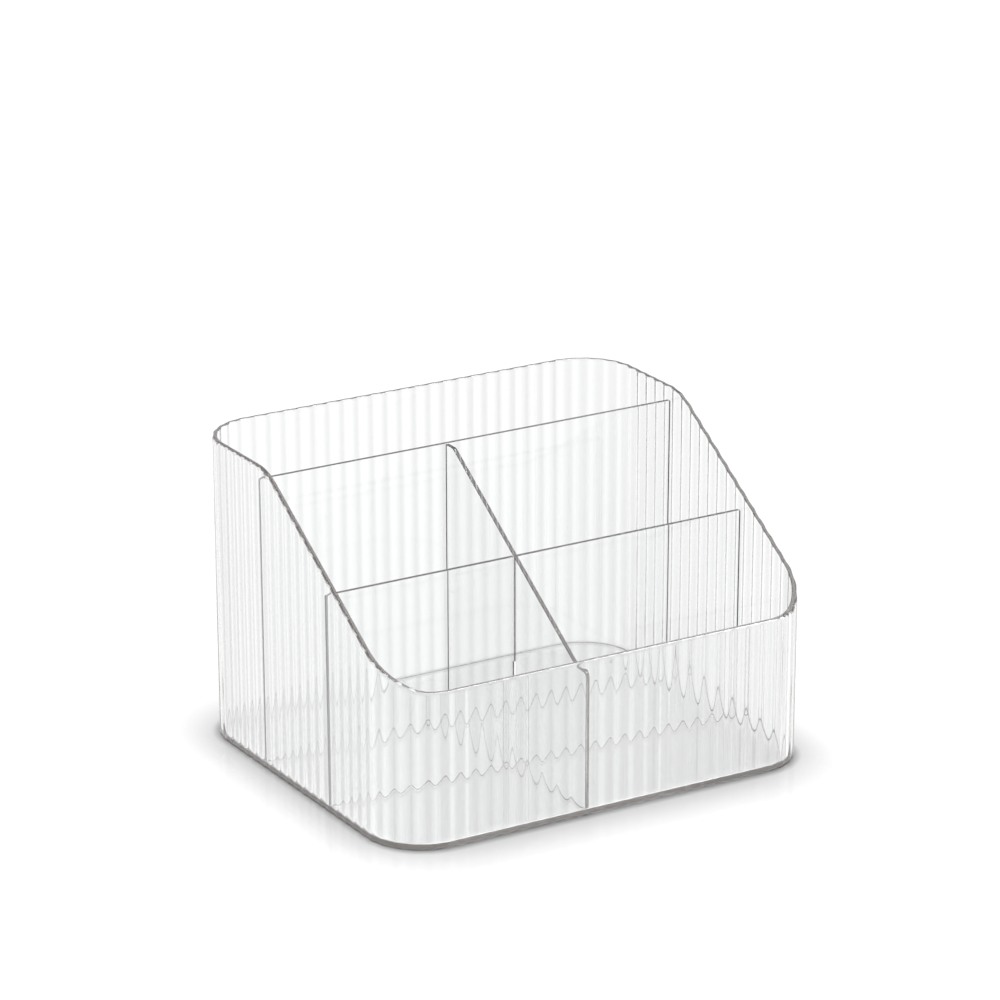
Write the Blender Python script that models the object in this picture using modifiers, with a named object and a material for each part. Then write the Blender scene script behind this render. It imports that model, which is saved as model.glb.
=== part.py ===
"""A clear fluted organizer tray with five compartments, and the three panels that divide it."""

import math

import bmesh
import bpy

# Tray, measured over the flute crests at the rim. X runs along the front, Y to the back, Z up.
WIDTH = 0.1800
DEPTH = 0.1530
BACK_HEIGHT = 0.1180
FRONT_HEIGHT = 0.0598
CORNER_RADIUS = 0.0225

# The rim is level at the back, falls in a straight slope, and is level again at the front.
SLOPE_TOP_Y = 0.0191
SLOPE_FOOT_Y = -0.0729
SLOPE_TOP_ROUND = 0.0250
SLOPE_FOOT_ROUND = 0.0080

# Walls and floor. Each taper is the share by which an outline is smaller at the foot than at the rim.
WALL_AT_RIM = 0.0019
OUTER_TAPER_SHARE = 0.0050
INNER_TAPER_SHARE = 0.0100
FLOOR = 0.0015
BASE_ROUND = 0.0009
BASE_ROUND_STEPS = 2
RIM_ROUND = 0.0004
FLOOR_FILLET = 0.0006
FLOOR_FILLET_STEPS = 2

# Flutes: shallow hollows between softly rounded crests, all round the outside.
FLUTE_COUNT = 100
FLUTE_DEPTH = 0.00028
FLUTE_STEPS = 5
WAVE_SHARE = 0.50
CREST_SHARE = 0.04

# Panels.
PANEL = 0.0016
JOINT_GAP = 0.0003
PANEL_CORNER = 0.0006
PANEL_EDGE_ROUND = 0.0002
CORNER_STEPS = 4
BACK_PANEL_Y = 0.0250
BACK_PANEL_HEIGHT = 0.1127
FRONT_PANEL_Y = -0.0243
FRONT_PANEL_HEIGHT = 0.0835
CENTRE_PANEL_X = -0.0103
CENTRE_BACK_HEIGHT = 0.1124
CENTRE_FRONT_HEIGHT = 0.0551
CENTRE_SLOPE_TOP_Y = 0.0189
CENTRE_SLOPE_FOOT_Y = -0.0682
CENTRE_FRONT_ROUND = 0.0025
LAP_SHARE = 0.50

# Clear plastic, very slightly grey.
PLASTIC_COLOUR = (0.93, 0.95, 0.95, 1.0)
PLASTIC_ROUGHNESS = 0.05
PLASTIC_IOR = 1.53


def clear_scene():
    for old in list(bpy.data.objects):
        bpy.data.objects.remove(old, do_unlink=True)


def rim_height(y):
    """Height of the rim above the table at this distance from the middle of the tray."""
    angle = math.atan2(BACK_HEIGHT - FRONT_HEIGHT, SLOPE_TOP_Y - SLOPE_FOOT_Y)
    top_run = SLOPE_TOP_ROUND * math.tan(angle / 2)
    foot_run = SLOPE_FOOT_ROUND * math.tan(angle / 2)
    top_centre = SLOPE_TOP_Y + top_run
    foot_centre = SLOPE_FOOT_Y - foot_run
    if y >= top_centre:
        return BACK_HEIGHT
    if y >= SLOPE_TOP_Y - top_run * math.cos(angle):
        rise = math.sqrt(SLOPE_TOP_ROUND**2 - (top_centre - y) ** 2)
        return BACK_HEIGHT - SLOPE_TOP_ROUND + rise
    if y >= SLOPE_FOOT_Y + foot_run * math.cos(angle):
        return FRONT_HEIGHT + (y - SLOPE_FOOT_Y) * math.tan(angle)
    if y >= foot_centre:
        rise = math.sqrt(SLOPE_FOOT_ROUND**2 - (y - foot_centre) ** 2)
        return FRONT_HEIGHT + SLOPE_FOOT_ROUND - rise
    return FRONT_HEIGHT


def taper(share, z):
    """Scale of an outline at height z, where share is how much smaller it is at the foot."""
    return 1 - share * (BACK_HEIGHT - z) / BACK_HEIGHT


def outline_spot(along):
    """Place on the tray's outline, and the direction out of it, at this length from the right wall's middle."""
    half_x = WIDTH / 2 - CORNER_RADIUS
    half_y = DEPTH / 2 - CORNER_RADIUS
    arc = CORNER_RADIUS * math.pi / 2
    legs = (half_y, arc, 2 * half_x, arc, 2 * half_y, arc, 2 * half_x, arc, half_y)
    leg = 0
    while leg < len(legs) - 1 and along > legs[leg]:
        along -= legs[leg]
        leg += 1
    corners = ((half_x, half_y), (-half_x, half_y), (-half_x, -half_y), (half_x, -half_y))
    turn = (leg // 2) * math.pi / 2
    if leg % 2:
        centre = corners[leg // 2]
        turn += along / CORNER_RADIUS
        out = (math.cos(turn), math.sin(turn))
        return centre, CORNER_RADIUS, out
    starts = ((half_x, 0), (half_x, half_y), (-half_x, half_y), (-half_x, -half_y), (half_x, -half_y))
    out = (round(math.cos(turn)), round(math.sin(turn)))
    start = starts[leg // 2]
    centre = (start[0] - out[1] * along, start[1] + out[0] * along)
    return centre, CORNER_RADIUS, out


def outline_length():
    straight = 2 * (WIDTH - 2 * CORNER_RADIUS) + 2 * (DEPTH - 2 * CORNER_RADIUS)
    return straight + 2 * math.pi * CORNER_RADIUS


def flute(column):
    """How far the outer surface lies in from the crests at this column."""
    turn = 2 * math.pi * column / FLUTE_STEPS
    wave = WAVE_SHARE * math.cos(turn) + CREST_SHARE * math.cos(2 * turn)
    return FLUTE_DEPTH * (WAVE_SHARE + CREST_SHARE - wave)


def quarter(radius, steps):
    """Sideways and upward distances of a quarter round, from its upright side to its level side."""
    for step in range(steps + 1):
        turn = math.pi / 2 * step / steps
        yield radius * (1 - math.cos(turn)), radius * math.sin(turn)


def tray_section():
    """The wall's section from the underside to the floor: face, set-in, height over base, over rim or None."""
    section = []
    for inward, rise in reversed(list(quarter(BASE_ROUND, BASE_ROUND_STEPS))):
        section.append(("outer", inward, BASE_ROUND - rise, None))
    section.append(("outer", 0, None, -RIM_ROUND))
    section.append(("outer", RIM_ROUND, None, 0))
    section.append(("inner", -RIM_ROUND, None, 0))
    section.append(("inner", 0, None, -RIM_ROUND))
    for inward, rise in quarter(FLOOR_FILLET, FLOOR_FILLET_STEPS):
        section.append(("inner", inward, FLOOR + FLOOR_FILLET - rise, None))
    return section


def tray_point(column, columns, step):
    face, inward, height, over_rim = step
    centre, radius, out = outline_spot(outline_length() * column / columns)
    inner = face == "inner"
    depth = WALL_AT_RIM + inward if inner else flute(column) + inward
    x = centre[0] + out[0] * (radius - depth)
    y = centre[1] + out[1] * (radius - depth)
    z = rim_height(y) + over_rim if height is None else height
    scale = taper(INNER_TAPER_SHARE if inner else OUTER_TAPER_SHARE, z)
    return x * scale, y * scale, z


def finish(mesh, name, collection, material):
    """Turns the mesh into a named object with its faces outward."""
    bmesh.ops.recalc_face_normals(mesh, faces=mesh.faces)
    data = bpy.data.meshes.new(name)
    mesh.to_mesh(data)
    mesh.free()
    data.materials.append(material)
    made = bpy.data.objects.new(name, data)
    collection.objects.link(made)
    return made


def build_tray(collection, material):
    """A sheet wrapped round the outline, from the underside over the rim to the floor, and closed at both ends."""
    section = tray_section()
    columns = FLUTE_COUNT * FLUTE_STEPS
    rings = len(section) - 1
    mesh = bmesh.new()
    bmesh.ops.create_grid(mesh, x_segments=columns, y_segments=rings, size=1)
    for vert in mesh.verts:
        column = round((vert.co.x + 1) / 2 * columns) % columns
        ring = round((vert.co.y + 1) / 2 * rings)
        vert.co = tray_point(column, columns, section[ring])
    bmesh.ops.remove_doubles(mesh, verts=mesh.verts, dist=0.000001)
    bmesh.ops.holes_fill(mesh, edges=[e for e in mesh.edges if e.is_boundary], sides=0)
    return finish(mesh, "tray_body", collection, material)


def rounded(corners):
    """Outline through (across, up, radius) corners, with an arc at each corner whose radius isn't zero."""
    points = []
    for index, (a, b, radius) in enumerate(corners):
        if not radius:
            points.append((a, b))
            continue
        before = corners[index - 1]
        after = corners[(index + 1) % len(corners)]
        from_turn = math.atan2(b - before[1], a - before[0])
        turn = math.atan2(after[1] - b, after[0] - a) - from_turn
        turn = (turn + math.pi) % (2 * math.pi) - math.pi
        run = radius * math.tan(abs(turn) / 2)
        side = math.copysign(1, turn)
        start = (a - run * math.cos(from_turn), b - run * math.sin(from_turn))
        centre = (start[0] - side * radius * math.sin(from_turn), start[1] + side * radius * math.cos(from_turn))
        for step in range(CORNER_STEPS + 1):
            now = from_turn + turn * step / CORNER_STEPS
            across = centre[0] + side * radius * math.sin(now)
            up = centre[1] - side * radius * math.cos(now)
            points.append((across, up))
    return points


def build_panel(name, corners, place, collection, material):
    """An upright plate of the panels' thickness. place turns (across, thickness, up) into a point."""
    points = rounded(corners)
    mesh = bmesh.new()
    bmesh.ops.create_circle(mesh, cap_ends=True, segments=len(points), radius=WIDTH)
    for vert, (across, up) in zip(mesh.verts, points):
        vert.co = place(across, -PANEL / 2, up)
    grown = bmesh.ops.extrude_face_region(mesh, geom=mesh.faces[:], use_keep_orig=True)["geom"]
    shift = [p - q for p, q in zip(place(0, PANEL, 0), place(0, 0, 0))]
    bmesh.ops.translate(mesh, vec=shift, verts=[g for g in grown if isinstance(g, bmesh.types.BMVert)])
    made = finish(mesh, name, collection, material)
    bevel = made.modifiers.new("Edges", "BEVEL")
    bevel.width = PANEL_EDGE_ROUND
    bevel.segments = 1
    bevel.limit_method = "ANGLE"
    bevel.angle_limit = math.radians(50)
    return made


def inner_half_width(z):
    return (WIDTH / 2 - WALL_AT_RIM) * taper(INNER_TAPER_SHARE, z) - JOINT_GAP


def inner_half_depth(z):
    return (DEPTH / 2 - WALL_AT_RIM) * taper(INNER_TAPER_SHARE, z) - JOINT_GAP


def cross_panel_corners(height, slot):
    """A panel from side wall to side wall, with a slot for the centre panel where slot gives its half width."""
    foot = FLOOR + JOINT_GAP
    foot_round = FLOOR_FILLET + JOINT_GAP
    corners = [
        (-inner_half_width(foot), foot, foot_round),
        (inner_half_width(foot), foot, foot_round),
        (inner_half_width(height), height, PANEL_CORNER),
    ]
    if slot:
        bottom = foot + (height - foot) * LAP_SHARE
        for across, up in ((slot, height), (slot, bottom), (-slot, bottom), (-slot, height)):
            corners.append((CENTRE_PANEL_X + across, up, 0))
    corners.append((-inner_half_width(height), height, PANEL_CORNER))
    return corners


def centre_panel_corners():
    """A panel from the front wall to the back panel, with a slot in its foot for the front panel."""
    foot = FLOOR + JOINT_GAP
    foot_round = FLOOR_FILLET + JOINT_GAP
    back = BACK_PANEL_Y - PANEL / 2 - JOINT_GAP
    slot = PANEL / 2 + JOINT_GAP
    slot_top = foot + (FRONT_PANEL_HEIGHT - foot) * LAP_SHARE + JOINT_GAP
    return [
        (-inner_half_depth(foot), foot, foot_round),
        (FRONT_PANEL_Y - slot, foot, 0),
        (FRONT_PANEL_Y - slot, slot_top, 0),
        (FRONT_PANEL_Y + slot, slot_top, 0),
        (FRONT_PANEL_Y + slot, foot, 0),
        (back, foot, 0),
        (back, CENTRE_BACK_HEIGHT, 0),
        (CENTRE_SLOPE_TOP_Y, CENTRE_BACK_HEIGHT, PANEL_CORNER),
        (CENTRE_SLOPE_FOOT_Y, CENTRE_FRONT_HEIGHT, PANEL_CORNER),
        (-inner_half_depth(CENTRE_FRONT_HEIGHT), CENTRE_FRONT_HEIGHT, CENTRE_FRONT_ROUND),
    ]


def plastic(name):
    """Each piece's own clear plastic."""
    made = bpy.data.materials.new(name)
    made.use_nodes = True
    shader = made.node_tree.nodes["Principled BSDF"]
    shader.inputs["Base Color"].default_value = PLASTIC_COLOUR
    shader.inputs["Roughness"].default_value = PLASTIC_ROUGHNESS
    shader.inputs["IOR"].default_value = PLASTIC_IOR
    shader.inputs["Transmission Weight"].default_value = 1.0
    return made


def main():
    clear_scene()
    parts = bpy.data.collections.new("compartment_organizer")
    bpy.context.scene.collection.children.link(parts)
    tray = build_tray(parts, plastic("tray_plastic"))
    tray.data.shade_smooth()
    tray.data.set_sharp_from_angle(angle=math.radians(30))
    build_panel(
        "back_divider",
        cross_panel_corners(BACK_PANEL_HEIGHT, None),
        lambda a, t, b: (a, BACK_PANEL_Y + t, b),
        parts,
        plastic("back_divider_plastic"),
    )
    build_panel(
        "front_divider",
        cross_panel_corners(FRONT_PANEL_HEIGHT, PANEL / 2 + JOINT_GAP),
        lambda a, t, b: (a, FRONT_PANEL_Y + t, b),
        parts,
        plastic("front_divider_plastic"),
    )
    build_panel(
        "centre_divider",
        centre_panel_corners(),
        lambda a, t, b: (CENTRE_PANEL_X + t, a, b),
        parts,
        plastic("centre_divider_plastic"),
    )


main()
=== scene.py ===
# %% [markdown]
# # A clear fluted desk organizer
#
# The object is a tray of clear plastic, moulded in one piece, with three flat panels bonded into it.
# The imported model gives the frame: every piece made here stands where its solid stands, in metres,
# with X along the front, Y to the back and Z up. This lesson replaces the plain solids with finer
# ones, because clear plastic is only as good as the surfaces that bend the light.

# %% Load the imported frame
import math

import bmesh
import bpy
from mathutils import Matrix, Vector


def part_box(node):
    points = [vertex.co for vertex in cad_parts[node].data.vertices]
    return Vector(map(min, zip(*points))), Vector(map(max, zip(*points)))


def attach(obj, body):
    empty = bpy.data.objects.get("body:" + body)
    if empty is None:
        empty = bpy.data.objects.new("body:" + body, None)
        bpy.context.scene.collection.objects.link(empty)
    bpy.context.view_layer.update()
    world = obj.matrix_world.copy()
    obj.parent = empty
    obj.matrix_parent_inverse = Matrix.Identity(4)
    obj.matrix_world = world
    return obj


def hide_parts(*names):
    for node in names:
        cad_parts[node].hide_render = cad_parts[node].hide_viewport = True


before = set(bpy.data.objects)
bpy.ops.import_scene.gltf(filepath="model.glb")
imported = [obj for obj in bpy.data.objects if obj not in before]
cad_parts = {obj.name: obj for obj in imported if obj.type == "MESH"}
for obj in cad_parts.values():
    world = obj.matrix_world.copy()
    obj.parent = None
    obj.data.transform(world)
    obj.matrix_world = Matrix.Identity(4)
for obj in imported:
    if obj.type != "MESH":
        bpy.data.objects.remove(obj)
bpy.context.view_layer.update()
for node in sorted(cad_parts):
    low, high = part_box(node)
    print(node, "stands from", [round(v, 4) for v in low], "to", [round(v, 4) for v in high])

# %% [markdown]
# ## The sizes
#
# One list of sizes drives the tray and the panels, as one drawing would. The tray is measured over
# the crests of its flutes. Each taper is the share by which an outline is smaller at the foot than
# at the rim: a moulded part needs it to leave its mould.

# %% Sizes of the tray
WIDTH = 0.1800
DEPTH = 0.1530
BACK_HEIGHT = 0.1180
FRONT_HEIGHT = 0.0598
CORNER_RADIUS = 0.0225
SLOPE_TOP_Y = 0.0191
SLOPE_FOOT_Y = -0.0729
SLOPE_TOP_ROUND = 0.0250
SLOPE_FOOT_ROUND = 0.0080
WALL_AT_RIM = 0.0019
OUTER_TAPER_SHARE = 0.0050
INNER_TAPER_SHARE = 0.0100
FLOOR = 0.0015
print("the tray is", [round(size * 1000) for size in (WIDTH, DEPTH, BACK_HEIGHT)], "mm wide, deep and high")

# %% Sizes of the panels
PANEL = 0.0016
BACK_PANEL_Y = 0.0250
BACK_PANEL_HEIGHT = 0.1127
FRONT_PANEL_Y = -0.0243
FRONT_PANEL_HEIGHT = 0.0835
CENTRE_PANEL_X = -0.0103
CENTRE_BACK_HEIGHT = 0.1124
CENTRE_FRONT_HEIGHT = 0.0551
CENTRE_SLOPE_TOP_Y = 0.0189
CENTRE_SLOPE_FOOT_Y = -0.0682
SEAM = 0.00005
print("the panels are", PANEL * 1000, "mm thick, in walls of", WALL_AT_RIM * 1000, "mm")

# %% [markdown]
# ## The line of the rim
#
# Seen from the side, the rim is level at the back, turns down over a wide round, falls in a straight
# slope and ends in a tight hollow at the front. It can be drawn as a curve, but a plain function of
# the distance from the middle is easier to reuse: the same line trims the wall all the way round.

# %% A function for the rim
SLOPE = math.atan2(BACK_HEIGHT - FRONT_HEIGHT, SLOPE_TOP_Y - SLOPE_FOOT_Y)


def rim_height(y):
    """Height of the rim at this distance from the middle of the tray."""
    top_run = SLOPE_TOP_ROUND * math.tan(SLOPE / 2)
    foot_run = SLOPE_FOOT_ROUND * math.tan(SLOPE / 2)
    top_centre = SLOPE_TOP_Y + top_run
    foot_centre = SLOPE_FOOT_Y - foot_run
    if y >= top_centre:
        return BACK_HEIGHT
    if y >= SLOPE_TOP_Y - top_run * math.cos(SLOPE):
        return BACK_HEIGHT - SLOPE_TOP_ROUND + math.sqrt(SLOPE_TOP_ROUND**2 - (top_centre - y) ** 2)
    if y >= SLOPE_FOOT_Y + foot_run * math.cos(SLOPE):
        return FRONT_HEIGHT + (y - SLOPE_FOOT_Y) * math.tan(SLOPE)
    if y >= foot_centre:
        return FRONT_HEIGHT + SLOPE_FOOT_ROUND - math.sqrt(SLOPE_FOOT_ROUND**2 - (y - foot_centre) ** 2)
    return FRONT_HEIGHT


print("the slope falls at", round(math.degrees(SLOPE), 1), "degrees")

# %% [markdown]
# ## The flutes
#
# The outside is fluted: a hundred shallow hollows run from the rim to the foot, a quarter of an inch
# apart, and meet in softly rounded crests. The inside stays smooth. One flute is a wave with a
# little of its double frequency, which sharpens the crests. A hundred waves fit the outline exactly,
# so that there is no seam, and a crest stands in the middle of each wall.

# %% One flute
FLUTE_COUNT = 100
FLUTE_STEPS = 16
FLUTE_DEPTH = 0.00028
WAVE_SHARE = 0.50
CREST_SHARE = 0.04
COLUMNS = FLUTE_COUNT * FLUTE_STEPS


def flute(column):
    """How far the outer surface lies in from the crests at this column."""
    turn = math.tau * column / FLUTE_STEPS
    wave = WAVE_SHARE * math.cos(turn) + CREST_SHARE * math.cos(2 * turn)
    return FLUTE_DEPTH * (WAVE_SHARE + CREST_SHARE - wave)


print("a hollow is", round(flute(FLUTE_STEPS / 2) * 1000, 2), "mm deep")

# %% The outline that the flutes follow
HALF_X = WIDTH / 2 - CORNER_RADIUS
HALF_Y = DEPTH / 2 - CORNER_RADIUS
QUARTER = CORNER_RADIUS * math.pi / 2
OUTLINE = 4 * HALF_X + 4 * HALF_Y + 4 * QUARTER


def outline_spot(column):
    """Where this column stands: a point on the corners' inner frame, and the direction out of the wall."""
    along = OUTLINE * column / COLUMNS
    legs = (HALF_Y, QUARTER, 2 * HALF_X, QUARTER, 2 * HALF_Y, QUARTER, 2 * HALF_X, QUARTER, HALF_Y)
    leg = 0
    while leg < len(legs) - 1 and along > legs[leg]:
        along -= legs[leg]
        leg += 1
    turn = (leg // 2) * math.pi / 2
    if leg % 2:
        corner = ((HALF_X, HALF_Y), (-HALF_X, HALF_Y), (-HALF_X, -HALF_Y), (HALF_X, -HALF_Y))[leg // 2]
        turn += along / CORNER_RADIUS
        return Vector(corner), Vector((math.cos(turn), math.sin(turn)))
    start = ((HALF_X, 0), (HALF_X, HALF_Y), (-HALF_X, HALF_Y), (-HALF_X, -HALF_Y), (HALF_X, -HALF_Y))
    out = Vector((round(math.cos(turn)), round(math.sin(turn))))
    return Vector(start[leg // 2]) + Vector((-out.y, out.x)) * along, out


print("the outline is", round(OUTLINE * 1000, 1), "mm long")
print("a flute is", round(OUTLINE * 1000 / FLUTE_COUNT, 2), "mm wide")

# %% [markdown]
# ## The wall's section
#
# The tray is one skin: it starts under the floor, turns round the foot, climbs the fluted outside,
# goes over the rim and comes down the smooth inside to the floor. Cutting a solid block with
# Booleans would give the same shape, but it leaves ragged faces, and in clear plastic each ragged
# face shows as a crease in the light. A skin built ring by ring has only even quads.
# Each step of the section says which face it is on, how far in it is set, and how high it is,
# over the table or over the rim.
#
# The rim is rounded well on the outside, taller than wide, and only a little on the inside. Those
# two rounds set how wide the dark line of the rim looks, because they decide which light gets into
# the wall there. A flat step next to each round keeps the smooth shading of the round off the wall.

# %% Section steps
FOOT_ROUND = 0.0009
OUTER_RIM_ROUND = 0.0012
OUTER_RIM_INSET = 0.0007
INNER_RIM_ROUND = 0.0004
FILLET = 0.0006
FLAT_EDGE = 0.0004
FOOT_STEPS = 5
OUTER_RIM_STEPS = 6
INNER_RIM_STEPS = 5
FILLET_STEPS = 4


def quarter(width, height, steps):
    """Sideways and upward distances along a quarter round, from its upright side to its level side."""
    for step in range(steps + 1):
        turn = math.pi / 2 * step / steps
        yield width * (1 - math.cos(turn)), height * math.sin(turn)


section = [("outer", FOOT_ROUND + FLAT_EDGE, 0.0, None)]
for inward, rise in reversed(list(quarter(FOOT_ROUND, FOOT_ROUND, FOOT_STEPS))):
    section.append(("outer", inward, FOOT_ROUND - rise, None))
section.append(("outer", 0.0, FOOT_ROUND + FLAT_EDGE, None))
section.append(("outer", 0.0, None, -OUTER_RIM_ROUND - FLAT_EDGE))
for inward, rise in quarter(OUTER_RIM_INSET, OUTER_RIM_ROUND, OUTER_RIM_STEPS):
    section.append(("outer", inward, None, rise - OUTER_RIM_ROUND))
for inward, rise in reversed(list(quarter(INNER_RIM_ROUND, INNER_RIM_ROUND, INNER_RIM_STEPS))):
    section.append(("inner", -inward, None, rise - INNER_RIM_ROUND))
section.append(("inner", 0.0, None, -INNER_RIM_ROUND - FLAT_EDGE))
section.append(("inner", 0.0, FLOOR + FILLET + FLAT_EDGE, None))
for inward, rise in quarter(FILLET, FILLET, FILLET_STEPS):
    section.append(("inner", inward, FLOOR + FILLET - rise, None))
section.append(("inner", FILLET + FLAT_EDGE, FLOOR, None))
print(len(section), "steps in the section")

# %% One point of the skin


def skin_point(column, step):
    """The point of the skin in this column, at this step of the section."""
    face, inward, height, over_rim = step
    centre, out = outline_spot(column)
    inset = WALL_AT_RIM + inward if face == "inner" else flute(column) + inward
    spot = centre + out * (CORNER_RADIUS - inset)
    z = rim_height(spot.y) + over_rim if height is None else height
    share = INNER_TAPER_SHARE if face == "inner" else OUTER_TAPER_SHARE
    scale = 1 - share * (BACK_HEIGHT - z) / BACK_HEIGHT
    return Vector((spot.x * scale, spot.y * scale, z))


print("the skin starts", round(skin_point(0, section[0]).x * 1000, 1), "mm to the right of the middle")

# %% [markdown]
# ## Making the tray
#
# The skin starts as a filled circle with one corner for each column, which becomes the underside.
# Its edge is then extruded once for each step of the section, and each new ring is laid on its
# step. The column's number is kept on each corner, and the extrusion copies it, so a corner always
# knows where it stands. The last ring is filled and becomes the floor.

# %% Start from a circle


def start_piece(name):
    """Gives the primitive that was just added its name, and opens it for editing."""
    made = bpy.context.object
    made.name = name
    made.data.name = name
    bpy.ops.object.mode_set(mode="EDIT")
    return made


bpy.ops.object.select_all(action="DESELECT")
bpy.ops.mesh.primitive_circle_add(vertices=COLUMNS, radius=WIDTH / 2, fill_type="NGON")
tray = start_piece("clear_tray")
mesh = bmesh.from_edit_mesh(tray.data)
column_of = mesh.verts.layers.int.new("column")
for index, vert in enumerate(mesh.verts):
    vert[column_of] = index
bmesh.update_edit_mesh(tray.data)
print("the circle has", COLUMNS, "corners")

# %% Extrude it ring by ring


def lay_ring(step):
    """Moves the selected ring onto this step of the section."""
    mesh = bmesh.from_edit_mesh(tray.data)
    column_of = mesh.verts.layers.int["column"]
    for vert in mesh.verts:
        if vert.select:
            vert.co = skin_point(vert[column_of], step)
    bmesh.update_edit_mesh(tray.data)


lay_ring(section[0])
bpy.ops.mesh.select_mode(type="EDGE")
for step in section[1:]:
    bpy.ops.mesh.extrude_edges_move()
    lay_ring(step)
bpy.ops.mesh.edge_face_add()
print("the skin has", len(section), "rings")

# %% [markdown]
# Extruding many edges at once makes the same faces each time, but lists them in an order that changes
# from run to run. Sorting them by the numbers of their corners gives one list for good.

# %% Sort the faces


def face_rank(face):
    """A number for the face's place in the list: its last corner first, then its first corner."""
    numbers = [vert.index for vert in face.verts]
    return max(numbers) * COLUMNS * len(section) + min(numbers)


mesh = bmesh.from_edit_mesh(tray.data)
mesh.verts.index_update()
mesh.faces.sort(key=face_rank)
bmesh.update_edit_mesh(tray.data)
print("sorted", len(mesh.faces), "faces")

# %% Close it and smooth it


def close_piece(piece, sharp):
    """Turns the faces outward, leaves edit mode and smooths all but the sharp edges."""
    bpy.ops.mesh.select_all(action="SELECT")
    bpy.ops.mesh.normals_make_consistent(inside=False)
    bpy.ops.object.mode_set(mode="OBJECT")
    bpy.ops.object.shade_smooth_by_angle(angle=math.radians(sharp))
    mesh = bmesh.new()
    mesh.from_mesh(piece.data)
    volume = mesh.calc_volume(signed=True)
    open_edges = sum(not edge.is_manifold for edge in mesh.edges)
    mesh.free()
    print(piece.name, "holds", round(volume * 1e6, 1), "cm3 of plastic, open edges:", open_edges)


TRAY_SHARP = 35
close_piece(tray, TRAY_SHARP)

# %% [markdown]
# ## Making the panels
#
# A panel starts as a flat strip. Its outline is drawn by extruding the strip's back edge, its
# corners are rounded while it is still flat, and it is then given its thickness. A hairline round on
# every edge is what catches the light on a real sawn and polished edge.

# %% Inside of the tray


def inner_half(size, z):
    """Half of the tray's inner width or depth at this height."""
    return (size / 2 - WALL_AT_RIM) * (1 - INNER_TAPER_SHARE * (BACK_HEIGHT - z) / BACK_HEIGHT)


def select_corners(piece, test):
    """Selects only the corners that pass the test, with the edges and faces between them."""
    mesh = bmesh.from_edit_mesh(piece.data)
    bpy.ops.mesh.select_mode(type="VERT")
    bpy.ops.mesh.select_all(action="DESELECT")
    count = 0
    for vert in mesh.verts:
        if test(vert.co):
            vert.select = True
            count += 1
    mesh.select_flush(True)
    bmesh.update_edit_mesh(piece.data)
    return count


print("inside, the tray is", round(inner_half(WIDTH, FLOOR) * 2 * 1000, 1), "mm wide at the floor")

# %% A strip that grows into an outline
NEAR = 0.00005


def near(value, target):
    """Whether the two lengths are the same, to a twentieth of a millimetre."""
    return abs(value - target) < NEAR


def add_outline(name, stations):
    """A flat upright sheet on the plane x = 0. Each station gives its place, its foot and its top."""
    bpy.ops.object.select_all(action="DESELECT")
    bpy.ops.mesh.primitive_plane_add(size=2, rotation=(0, math.pi / 2, 0))
    bpy.ops.object.transform_apply(location=False, rotation=True, scale=False)
    piece = start_piece(name)
    mesh = bmesh.from_edit_mesh(piece.data)
    for vert in mesh.verts:
        y, foot, top = stations[0] if vert.co.y < 0 else stations[1]
        vert.co = Vector((0, y, top if vert.co.z > 0 else foot))
    bmesh.update_edit_mesh(piece.data)
    for (y_before, _, _), (y, foot, top) in zip(stations[1:], stations[2:]):
        select_corners(piece, lambda co, at=y_before: near(co.y, at))
        bpy.ops.mesh.extrude_edges_move(TRANSFORM_OT_translate={"value": (0, y - y_before, 0)})
        mesh = bmesh.from_edit_mesh(piece.data)
        moved = sorted((v for v in mesh.verts if v.select), key=lambda v: v.co.z)
        moved[0].co.z, moved[1].co.z = foot, top
        bmesh.update_edit_mesh(piece.data)
    print(name, "is drawn through", len(stations), "stations")
    return piece


# %% Rounding and thickness
ONE_SIDE = 0.00001
FLAT_ANGLE = math.radians(0.5)


def round_corners(piece, spots, radius, segments):
    """Rounds the flat sheet's corners at these (y, z) spots."""
    found = select_corners(piece, lambda co: any(near(co.y, y) and near(co.z, z) for y, z in spots))
    bpy.ops.mesh.bevel(
        offset=radius, offset_type="OFFSET", segments=segments, affect="VERTICES", profile=0.5
    )
    print(piece.name, "has", found, "corners of", round(radius * 1000, 2), "mm")


def thicken(piece, thickness):
    """Makes the sheet one face, and gives it its thickness, half to each side."""
    bpy.ops.mesh.select_all(action="SELECT")
    bpy.ops.mesh.dissolve_limited(angle_limit=FLAT_ANGLE)
    bpy.ops.mesh.select_all(action="SELECT")
    bpy.ops.transform.translate(value=(-thickness / 2, 0, 0))
    bpy.ops.mesh.extrude_region_move(TRANSFORM_OT_translate={"value": (thickness, 0, 0)})


def round_edges(piece, width):
    """Rounds the edges along both faces of the panel."""
    bpy.ops.mesh.select_mode(type="EDGE")
    bpy.ops.mesh.select_all(action="DESELECT")
    mesh = bmesh.from_edit_mesh(piece.data)
    for edge in mesh.edges:
        side = max(vert.co.x for vert in edge.verts) - min(vert.co.x for vert in edge.verts)
        edge.select = side < ONE_SIDE
    bmesh.update_edit_mesh(piece.data)
    bpy.ops.mesh.bevel(offset=width, offset_type="OFFSET", segments=2, affect="EDGES", profile=0.5)


# %% [markdown]
# ## The lap joint
#
# The centre panel crosses the front panel. Flat panels cross in a lap joint, as the dividers of a
# wine box do: one is slotted from above and the other from below, each to half its height. The
# slot is cut with a block, so the joint shows as the fine upright lines that it makes in clear
# plastic.

# %% A slot cut with a block
LAP_SHARE = 0.50
LAP_HEIGHT = FLOOR + (FRONT_PANEL_HEIGHT - FLOOR) * LAP_SHARE


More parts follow.
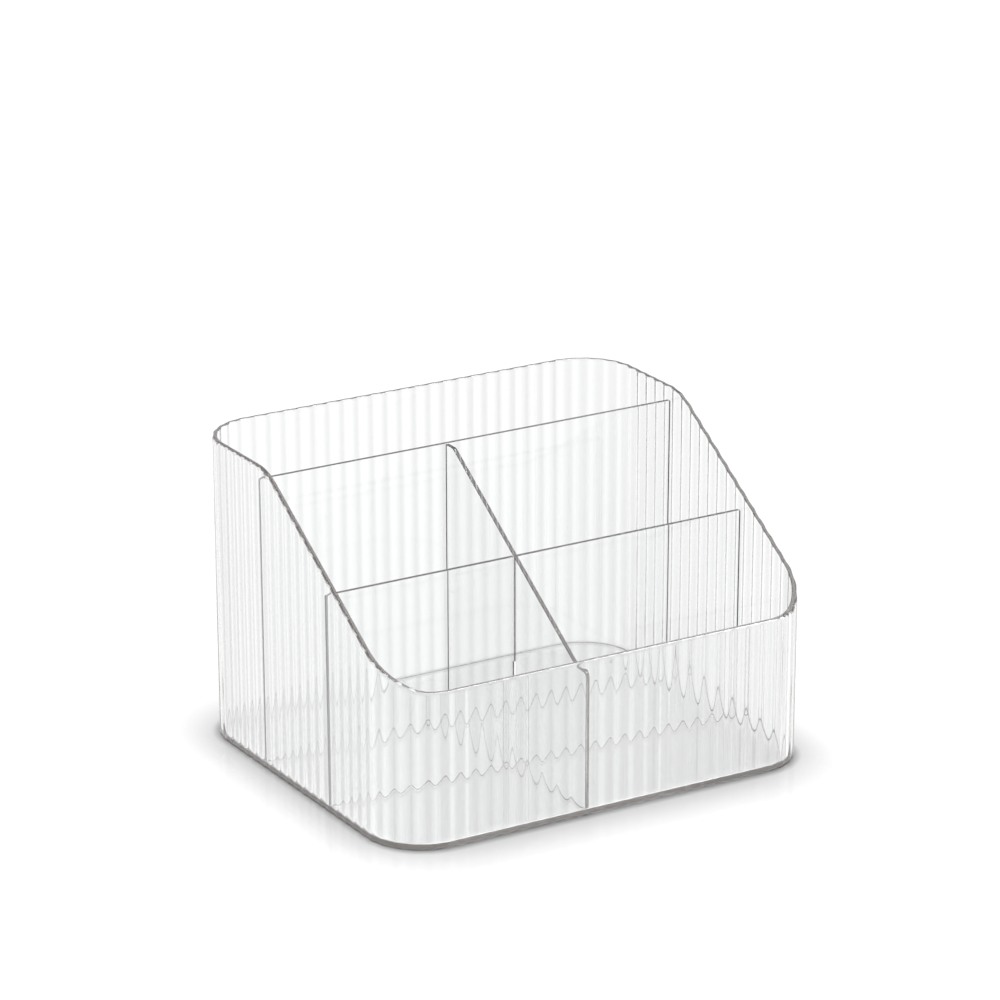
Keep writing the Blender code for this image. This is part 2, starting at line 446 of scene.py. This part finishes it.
def cut_slot(piece, low, high):
    """Cuts a block from low to high out of the piece."""
    low, high = Vector(low), Vector(high)
    bpy.ops.object.select_all(action="DESELECT")
    bpy.ops.mesh.primitive_cube_add(size=1, location=(low + high) / 2, scale=high - low)
    block = bpy.context.object
    cut = piece.modifiers.new("Slot", "BOOLEAN")
    cut.operation = "DIFFERENCE"
    cut.solver = "EXACT"
    cut.object = block
    bpy.context.view_layer.objects.active = piece
    bpy.ops.object.modifier_apply(modifier=cut.name)
    bpy.data.objects.remove(block)
    print(piece.name, "is slotted from", round(low.z * 1000, 1), "mm up")


def turn_to_cross(piece, y):
    """Turns a panel that was drawn on the plane x = 0 to run from side wall to side wall."""
    piece.data.transform(Matrix.Translation((0, y, 0)) @ Matrix.Rotation(-math.pi / 2, 4, "Z"))
    piece.data.update()


# %% The back panel
PANEL_CORNER = 0.0006
EDGE_ROUND = 0.00015
CORNER_STEPS = 4
PANEL_SHARP = 15
FOOT = FLOOR + SEAM


def add_cross_panel(name, y, height):
    """A full-width panel, drawn front to back and then turned."""
    foot_half = inner_half(WIDTH, FOOT) - SEAM
    top_half = inner_half(WIDTH, height) - SEAM
    piece = add_outline(name, [(-top_half, FOOT, height), (top_half, FOOT, height)])
    mesh = bmesh.from_edit_mesh(piece.data)
    for vert in mesh.verts:
        if near(vert.co.z, FOOT):
            vert.co.y = math.copysign(foot_half, vert.co.y)
    bmesh.update_edit_mesh(piece.data)
    round_corners(piece, [(-top_half, height), (top_half, height)], PANEL_CORNER, CORNER_STEPS)
    round_corners(piece, [(-foot_half, FOOT), (foot_half, FOOT)], FILLET + SEAM, CORNER_STEPS)
    thicken(piece, PANEL)
    round_edges(piece, EDGE_ROUND)
    close_piece(piece, PANEL_SHARP)
    turn_to_cross(piece, y)
    return piece


back_panel = add_cross_panel("clear_back_panel", BACK_PANEL_Y, BACK_PANEL_HEIGHT)

# %% The front panel, slotted from above
front_panel = add_cross_panel("clear_front_panel", FRONT_PANEL_Y, FRONT_PANEL_HEIGHT)
slot_half = PANEL / 2 + SEAM
cut_slot(
    front_panel,
    (CENTRE_PANEL_X - slot_half, FRONT_PANEL_Y - PANEL, LAP_HEIGHT),
    (CENTRE_PANEL_X + slot_half, FRONT_PANEL_Y + PANEL, FRONT_PANEL_HEIGHT * 2),
)

# %% The centre panel, slotted from below
CENTRE_FRONT_ROUND = 0.0025
CENTRE_FRONT_STEPS = 6
CENTRE_TOP_ROUND = 0.0012
CENTRE_TOP_STEPS = 5
front_end = -inner_half(DEPTH, CENTRE_FRONT_HEIGHT) + SEAM
front_foot = -inner_half(DEPTH, FOOT) + SEAM
back_end = BACK_PANEL_Y - PANEL / 2 - SEAM
centre_panel = add_outline(
    "clear_centre_panel",
    [
        (front_end, FOOT, CENTRE_FRONT_HEIGHT),
        (CENTRE_SLOPE_FOOT_Y, FOOT, CENTRE_FRONT_HEIGHT),
        (CENTRE_SLOPE_TOP_Y, FOOT, CENTRE_BACK_HEIGHT),
        (back_end, FOOT, CENTRE_BACK_HEIGHT),
    ],
)
mesh = bmesh.from_edit_mesh(centre_panel.data)
for vert in mesh.verts:
    if near(vert.co.y, front_end) and near(vert.co.z, FOOT):
        vert.co.y = front_foot
bmesh.update_edit_mesh(centre_panel.data)
round_corners(centre_panel, [(front_foot, FOOT)], FILLET + SEAM, CORNER_STEPS)
round_corners(centre_panel, [(front_end, CENTRE_FRONT_HEIGHT)], CENTRE_FRONT_ROUND, CENTRE_FRONT_STEPS)
round_corners(centre_panel, [(CENTRE_SLOPE_TOP_Y, CENTRE_BACK_HEIGHT)], CENTRE_TOP_ROUND, CENTRE_TOP_STEPS)
thicken(centre_panel, PANEL)
round_edges(centre_panel, EDGE_ROUND)
close_piece(centre_panel, PANEL_SHARP)
centre_panel.data.transform(Matrix.Translation((CENTRE_PANEL_X, 0, 0)))
cut_slot(
    centre_panel,
    (CENTRE_PANEL_X - PANEL, FRONT_PANEL_Y - slot_half, 0),
    (CENTRE_PANEL_X + PANEL, FRONT_PANEL_Y + slot_half, LAP_HEIGHT + SEAM),
)

# %% [markdown]
# ## A small helper for shader maths
#
# A material is a sum of small patterns. Written as node after node, the sums are hard to read, so a
# small class wraps a socket and lets Python's own operators add the Math nodes.

# %% The helper


class Socket:
    """A socket, or a number, in a material's node tree."""

    def __init__(self, tree, value):
        self.tree = tree
        self.value = value

    def node(self, kind, inputs, settings=None, output=0):
        """Adds a node with these settings and inputs, and gives one of its outputs."""
        made = self.tree.nodes.new(kind)
        for key, value in (settings or {}).items():
            setattr(made, key, value)
        for key, value in inputs.items():
            if isinstance(value, Socket):
                value = value.value
            if isinstance(value, bpy.types.NodeSocket):
                self.tree.links.new(value, made.inputs[key])
            else:
                made.inputs[key].default_value = value
        return Socket(self.tree, made.outputs[output])

    def maths(self, operation, first, second):
        """Adds one Math node, and gives its result."""
        return self.node("ShaderNodeMath", {0: first, 1: second}, {"operation": operation})

    def __add__(self, other):
        return self.maths("ADD", self, other)

    def __radd__(self, other):
        return self.maths("ADD", other, self)

    def __sub__(self, other):
        return self.maths("SUBTRACT", self, other)

    def __rsub__(self, other):
        return self.maths("SUBTRACT", other, self)

    def __mul__(self, other):
        return self.maths("MULTIPLY", self, other)

    def __rmul__(self, other):
        return self.maths("MULTIPLY", other, self)

    def clamp(self):
        """Keeps the value between 0 and 1."""
        return self.node("ShaderNodeClamp", {0: self})

    def noise(self, scale, detail, roughness=0.5):
        """A noise pattern over this place."""
        pattern = {"Vector": self, "Scale": scale, "Detail": detail, "Roughness": roughness}
        return self.node("ShaderNodeTexNoise", pattern, output="Fac")


def new_material(name):
    """A material with nothing but its output, its shader and the piece's own coordinates."""
    material = bpy.data.materials.new(name)
    material.use_nodes = True
    tree = material.node_tree
    shader = tree.nodes["Principled BSDF"]
    place = tree.nodes.new("ShaderNodeTexCoord")
    return material, shader, Socket(tree, place.outputs["Object"])


print("the helper adds, takes away, multiplies and clamps, and draws noise")

# %% [markdown]
# ## Clear plastic
#
# Clear styrene bends light a little more than acrylic does, and swallows a little of it. Across a
# wall of two millimetres nothing is lost, but along a wall, where the rim shows it edge on, the
# light has come ten centimetres through the plastic, and the rim looks dark. That is what volume
# absorption does, with no paint on the edges.
#
# A real wall also scatters a little of the light that runs along it, so its rim is grey and never
# black. A faint glow inside the plastic, painted light, stands in for that scattering, since it needs no
# extra rays: over a long way, glow and absorption settle at the grey of the rim.
#
# Fine scuffs from handling are spread over the surface as small changes of roughness, and the
# moulding is never quite flat, which a faint bump over a few centimetres gives.

# %% Clear plastic for the tray and the panels
PLASTIC_IOR = 1.53
PLASTIC_TINT = (0.985, 0.99, 0.99, 1.0)
ABSORPTION = 14.0
ABSORPTION_TINT = (0.08, 0.05, 0.03, 1.0)
HAZE_GLOW = 2.4
HAZE_GLOW_TINT = (1.0, 0.94, 0.92, 1.0)
SCUFF_SCALE = 60.0
SCUFF_START = 0.62
SCUFF_ROUGHNESS = 0.25
WAVE_SCALE = 28.0
WAVE_HEIGHT = 0.0003
WAVE_STRENGTH = 0.02


def clear_plastic(name, seed):
    """Clear plastic with scuffs and waves, which the seed sets apart from piece to piece."""
    material, shader, place = new_material(name)
    tree = place.tree
    scuffs = place.noise(SCUFF_SCALE + seed, 5.0, 0.6)
    wave = place.noise(WAVE_SCALE + seed, 1.0)
    rough = ((scuffs - SCUFF_START) * SCUFF_ROUGHNESS).clamp()
    waves = {"Height": wave, "Strength": WAVE_STRENGTH, "Distance": WAVE_HEIGHT}
    bump = place.node("ShaderNodeBump", waves, output="Normal")
    tree.links.new(rough.value, shader.inputs["Roughness"])
    tree.links.new(bump.value, shader.inputs["Normal"])
    shader.inputs["Base Color"].default_value = PLASTIC_TINT
    shader.inputs["IOR"].default_value = PLASTIC_IOR
    shader.inputs["Transmission Weight"].default_value = 1.0
    body = place.node("ShaderNodeVolumeAbsorption", {"Color": ABSORPTION_TINT, "Density": ABSORPTION})
    # The haze is painted light: a faint glow inside the plastic.
    haze_glow = place.node("ShaderNodeEmission", {"Color": HAZE_GLOW_TINT, "Strength": HAZE_GLOW})
    both = place.node("ShaderNodeAddShader", {0: body, 1: haze_glow})
    tree.links.new(both.value, tree.nodes["Material Output"].inputs["Volume"])
    print(name, "bends light by", PLASTIC_IOR)
    return material


tray_plastic = clear_plastic("tray_clear_plastic", 0.0)
panel_plastic = clear_plastic("panel_clear_plastic", 7.0)

# %% [markdown]
# ## Bonded edges and their painted shade
#
# The ends of the panels are sawn and bonded to the walls. In clear plastic such an end shows as a thin
# dark line, which is shade: little light reaches the eye along the panel. Here that shade is painted,
# as a dark grey look of the end faces' own, and the rest of the panel stays clear.

# %% Bonded edge, with painted shade
# The grey of the bonded ends is painted shade, made uneven by streaks.
BOND_SHADE_GREY = 0.15
BOND_SHADE_STREAKS = 400.0
BOND_SHADE_UNEVEN = 0.6
BOND_ROUGHNESS = 0.6
END_FACING = 0.9


def painted_end_shade(name):
    """Painted shade: a dark, slightly uneven grey that stands in for the shade on a bonded end."""
    material, shader, place = new_material(name)
    streaks = place.noise(BOND_SHADE_STREAKS, 2.0)
    # Painted shade: a dark grey, uneven along the streaks.
    grey = BOND_SHADE_GREY * (streaks * BOND_SHADE_UNEVEN + (1 - BOND_SHADE_UNEVEN / 2))
    place.tree.links.new(grey.value, shader.inputs["Base Color"])
    shader.inputs["Roughness"].default_value = BOND_ROUGHNESS
    return material


def shade_bonded_ends(piece, axis, low, high):
    """Gives the end faces that look along this axis, beyond low or high, the painted shade of a bonded end.
    """
    piece.data.materials.append(end_shade)
    count = 0
    for polygon in piece.data.polygons:
        place = polygon.center[axis]
        if abs(polygon.normal[axis]) > END_FACING and not low < place < high:
            polygon.material_index = 1
            count += 1
    print(piece.name, "has", count, "bonded faces")


end_shade = painted_end_shade("painted_end_shade")

# %% [markdown]
# ## Putting the pieces in their places
#
# Each piece rides on the row's one body, stands for its solid, and gets its material.

# %% Ride, replace and finish


def hand_over(piece, node, material):
    """Gives the piece its plastic and ties it to the solid that it stands for."""
    piece.data.materials.clear()
    piece.data.materials.append(material)
    for polygon in piece.data.polygons:
        polygon.material_index = 0
    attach(piece, "root")
    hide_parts(node)
    print(piece.name, "stands for", node, "with", len(piece.data.polygons), "faces")


hand_over(tray, "tray_body", tray_plastic)
hand_over(back_panel, "back_divider", panel_plastic)
hand_over(front_panel, "front_divider", panel_plastic)
hand_over(centre_panel, "centre_divider", panel_plastic)

# %% Paint shade on the bonded ends of the panels
END_BESIDE = 0.08
END_BEHIND = 0.02
shade_bonded_ends(back_panel, 0, -END_BESIDE, END_BESIDE)
shade_bonded_ends(front_panel, 0, -END_BESIDE, END_BESIDE)
shade_bonded_ends(centre_panel, 1, -END_BESIDE, END_BEHIND)

# %% [markdown]
# ## The studio floor
#
# The organizer stands on a white sweep. Everything that the camera sees round it is white, and only
# its shadow is grey. Clear plastic throws hardly any shadow from a lamp. What shows is the contact
# shadow, a band that is dark at the foot and fades within a few centimetres. The Ambient Occlusion
# node measures how much of the sky a spot on the floor sees, and that is the band.
#
# A Light Path node tells which ray asks: one from the camera, one that came through the plastic, or
# one that came off its gloss. Each gets its own share of white.

# %% The floor
FLOOR_SIZE = 12.0
FLOOR_DROP = 0.0002
FLOOR_GREY = (0.15, 0.15, 0.15, 1.0)
WHITE = (1.0, 1.0, 1.0, 1.0)
bpy.ops.object.select_all(action="DESELECT")
bpy.ops.mesh.primitive_plane_add(size=FLOOR_SIZE, location=(0, 0, -FLOOR_DROP))
floor = bpy.context.object
floor.name = "floor"
floor_material, shader, place = new_material("white_sweep")
tree = place.tree
shader.inputs["Base Color"].default_value = FLOOR_GREY
shader.inputs["Roughness"].default_value = 1.0
shader.inputs["Specular IOR Level"].default_value = 0.0
print("the floor is", FLOOR_SIZE, "m wide, and lies", FLOOR_DROP * 1000, "mm below the tray")

# %% Which ray asks
rays = tree.nodes.new("ShaderNodeLightPath")
camera_ray = Socket(tree, rays.outputs["Is Camera Ray"])
glossy_ray = Socket(tree, rays.outputs["Is Glossy Ray"])
through_ray = Socket(tree, rays.outputs["Is Transmission Ray"])
depth = Socket(tree, rays.outputs["Ray Depth"])
print("a Light Path node has", len(rays.outputs), "answers, of which four are used here")

# %% [markdown]
# The shadow is a little narrower beside the tray than before it, so the floor has to know where the
# tray stands. Two distances do it: how far a spot lies in from the sides, and how far from the front
# and the back. Past the corner's middle, their shares say whether the spot lies beside or before.

# %% Where a spot lies
NOT_ZERO = 1e-9
across = place.node("ShaderNodeSeparateXYZ", {0: place}, output="X")
along = place.node("ShaderNodeSeparateXYZ", {0: place}, output="Y")
from_side = WIDTH / 2 - across.maths("ABSOLUTE", across, 0.0)
from_front = DEPTH / 2 - along.maths("ABSOLUTE", along, 0.0)
inside = place.maths("MINIMUM", from_side, from_front)
out_side = place.maths("MAXIMUM", CORNER_RADIUS - from_side, 0.0)
out_front = place.maths("MAXIMUM", CORNER_RADIUS - from_front, 0.0)
out_both = out_side * out_side + out_front * out_front + NOT_ZERO
beside = place.maths("DIVIDE", out_side * out_side, out_both)
print("a corner of", CORNER_RADIUS * 1000, "mm leads from beside the tray to before it")

# %% The contact shadow
NEAR_REACH = 0.0042
NEAR_LESS = 0.0010
WIDE_REACH = 0.028
WIDE_LESS = 0.007
OPEN_SAMPLES = {"samples": 8}
near_open = place.node(
    "ShaderNodeAmbientOcclusion", {"Distance": NEAR_REACH - beside * NEAR_LESS}, OPEN_SAMPLES, output="AO"
)
wide_open = place.node(
    "ShaderNodeAmbientOcclusion", {"Distance": WIDE_REACH - beside * WIDE_LESS}, OPEN_SAMPLES, output="AO"
)
shadow = near_open * (near_open * (1.0 - beside) + beside) * wide_open
print("the shadow reaches", round(WIDE_REACH * 1000), "mm")

# %% [markdown]
# Under the tray no sky is seen at all, but the real floor is not black there: the light comes down
# through the clear floor of the tray. So the middle is white, a little patchy near the walls, which
# throw light onto it. Only a narrow ring under the foot stays dark, and it draws the dark line along
# the tray's base. Light that has been led down inside a wall sees white again.

# %% The light under the tray
FOOT_RING = 0.0010
COVERED = 0.03
UNDER_WHITE = 0.92
THROWN_START = 1.0
THROWN_REACH = 0.006
THROWN_SHARE = 0.25
PATCH_SCALE = 160.0
PATCH_SHARE = 1.2
GUIDED_DEPTH = 5.5
middle = place.maths("GREATER_THAN", inside, FOOT_RING)
patches = place.noise(PATCH_SCALE, 1.0)
thrown = (THROWN_START - inside * (1 / THROWN_REACH) + patches * PATCH_SHARE).clamp()
guided = place.maths("GREATER_THAN", depth, GUIDED_DEPTH)
covered = place.maths("LESS_THAN", near_open, COVERED)
under = covered * place.maths("MAXIMUM", middle * (thrown * THROWN_SHARE + UNDER_WHITE), guided)
print("the dark ring under the foot is", FOOT_RING * 1000, "mm wide")

# %% [markdown]
# Toward the lamp, on the right, the floor is a little lighter where it shows through the plastic.
# The last sum gives each kind of ray its share of white.

# %% The floor that the plastic shows
LIGHTER_FROM = 0.06
LIGHTER_SHARE = 0.16
LIGHTER_SLANT = 0.6
LIGHTER_START = 1.08
CAMERA_SHARE = 0.88
PLASTIC_SHARE = 0.80
track = across - along * LIGHTER_SLANT
lighter = ((track - LIGHTER_FROM) * (1 / LIGHTER_FROM)).clamp() * LIGHTER_SHARE + LIGHTER_START
contact = place.maths("MAXIMUM", near_open * lighter, under)
seen = camera_ray * shadow * CAMERA_SHARE + through_ray * contact * PLASTIC_SHARE
seen = place.maths("MAXIMUM", seen, glossy_ray * contact * PLASTIC_SHARE)
print("the camera sees", CAMERA_SHARE, "of the white, and rays from the plastic", PLASTIC_SHARE)

# %% [markdown]
# The floor has a faint gloss, and a stronger one for the rays that come through the plastic. It
# mirrors the strips of light of the next cells into the flutes.

# %% The floor's coats
FLOOR_WHITE = 1.25
GLOSS_ROUGHNESS = 0.10
GLOSS_SHARE = 0.12
GLOSS_THROUGH = 0.23
white = place.node("ShaderNodeEmission", {"Strength": FLOOR_WHITE})
gloss = place.node("ShaderNodeBsdfGlossy", {"Color": WHITE, "Roughness": GLOSS_ROUGHNESS})
matt = Socket(tree, shader.outputs["BSDF"])
lit = place.node("ShaderNodeMixShader", {0: seen, 1: matt, 2: white})
glazed = place.node("ShaderNodeMixShader", {0: through_ray * GLOSS_THROUGH + GLOSS_SHARE, 1: lit, 2: gloss})
tree.links.new(glazed.value, tree.nodes["Material Output"].inputs["Surface"])
floor.data.materials.append(floor_material)
print("the floor mirrors", GLOSS_SHARE, "of the light, and", GLOSS_SHARE + GLOSS_THROUGH, "through plastic")

# %% [markdown]
# ## The ceiling and its strips
#
# Flutes in clear plastic only show when what lies behind them isn't all of one brightness: each
# flute bends the view a few degrees to one side, and picks up the light from there. The camera sees
# plain white everywhere. Rays that have gone through several surfaces see a soft ceiling instead,
# with strips of more and less light round the horizon, as windows and flags in a studio give. Each
# strip is wide enough that a flute turns it into one clean stripe, and they are placed so that the
# change from light to dark lies straight behind the object.

# %% The world
CEILING_FROM = 0.15
CEILING_TO = 0.8
CEILING_EDGE = 0.9
CEILING_TOP = 0.50
STRIPS_FROM = 0.45
STRIPS_TO = 0.55
STRIPS_ROUND = 5.0
STRIPS_TURN = 1.126
STRIPS_SHARE = 0.52
STRIPS_DEPTH = 2.5
world = bpy.data.worlds.new("studio")
world.use_nodes = True
bpy.context.scene.world = world
tree = world.node_tree
sky = tree.nodes["Background"]
start = Socket(tree, None)
rays = tree.nodes.new("ShaderNodeLightPath")
view = tree.nodes.new("ShaderNodeTexCoord")
toward = Socket(tree, view.outputs["Generated"])
east = start.node("ShaderNodeSeparateXYZ", {0: toward}, output="X")
north = start.node("ShaderNodeSeparateXYZ", {0: toward}, output="Y")
up = start.node("ShaderNodeSeparateXYZ", {0: toward}, output="Z")


def fade(value, first, last, from_level, to_level):
    """Goes from one level to the other while the value goes from first to last."""
    levels = {"Value": value, "From Min": first, "From Max": last, "To Min": from_level, "To Max": to_level}
    return start.node("ShaderNodeMapRange", levels, output=0)


ceiling = fade(up, CEILING_FROM, CEILING_TO, CEILING_EDGE, CEILING_TOP)
angle = start.maths("ARCTAN2", north, east)
strips = start.maths("SINE", angle * STRIPS_ROUND + STRIPS_TURN, 0.0)
low = fade(up, STRIPS_FROM, STRIPS_TO, STRIPS_SHARE, 0.0)
deep = start.maths("GREATER_THAN", Socket(tree, rays.outputs["Ray Depth"]), STRIPS_DEPTH)
plain = Socket(tree, rays.outputs["Is Camera Ray"])
strength = start.maths("MAXIMUM", ceiling + strips * low * deep, plain)
tree.links.new(strength.value, sky.inputs["Strength"])
sky.inputs["Color"].default_value = WHITE
print(STRIPS_ROUND, "strips of light stand round the horizon")

# %% [markdown]
# ## The lamp
#
# One wide lamp at the back right adds a soft light on the rim and the flutes.

# %% The lamp
LAMP_PLACE = (0.75, 0.10, 1.36)
LAMP_SIZE = 1.2
LAMP_WATTS = 12.0
LAMP_AIM = Vector((0, 0, 0.04))
bpy.ops.object.light_add(type="AREA", location=LAMP_PLACE)
lamp = bpy.context.object
lamp.name = "soft_lamp"
lamp.data.shape = "SQUARE"
lamp.data.size = LAMP_SIZE
lamp.data.energy = LAMP_WATTS
lamp.rotation_euler = (LAMP_AIM - lamp.location).to_track_quat("-Z", "Y").to_euler()
print("the lamp stands", round((LAMP_AIM - lamp.location).length, 2), "m away")

# %% [markdown]
# ## The camera
#
# The camera stands at the front left, a little above, far away behind a long lens, so the tray's
# upright edges stay almost parallel.

# %% The camera
CAMERA_PLACE = (-0.8785, -1.4685, 0.6991)
CAMERA_DOWN = 19.420
CAMERA_TURN = 30.831
CAMERA_ROLL = -0.090
CAMERA_LENS = 177.15
CAMERA_SENSOR = 36.0
bpy.ops.object.camera_add(location=CAMERA_PLACE)
camera = bpy.context.object
camera.name = "camera"
turn = Matrix.Rotation(math.radians(-CAMERA_TURN), 4, "Z")
tilt = Matrix.Rotation(math.radians(90 - CAMERA_DOWN), 4, "X")
roll = Matrix.Rotation(math.radians(CAMERA_ROLL), 4, "Z")
camera.rotation_euler = (turn @ tilt @ roll).to_euler()
camera.data.lens = CAMERA_LENS
camera.data.sensor_width = CAMERA_SENSOR
bpy.context.scene.camera = camera
bpy.context.scene.view_settings.view_transform = "Standard"
print("the camera looks down", CAMERA_DOWN, "degrees through a lens of", CAMERA_LENS, "mm")

# %% [markdown]
# ## Long light paths
#
# Light that enters a wall is led along it by dozens of inner reflections before it leaves at the
# rim. With the usual limit it would end inside the plastic and leave black specks, so the limits
# are raised.

# %% Bounces
BOUNCES = 32
bpy.context.scene.cycles.max_bounces = BOUNCES
bpy.context.scene.cycles.glossy_bounces = BOUNCES
bpy.context.scene.cycles.transmission_bounces = BOUNCES
print("light may bounce", BOUNCES, "times")
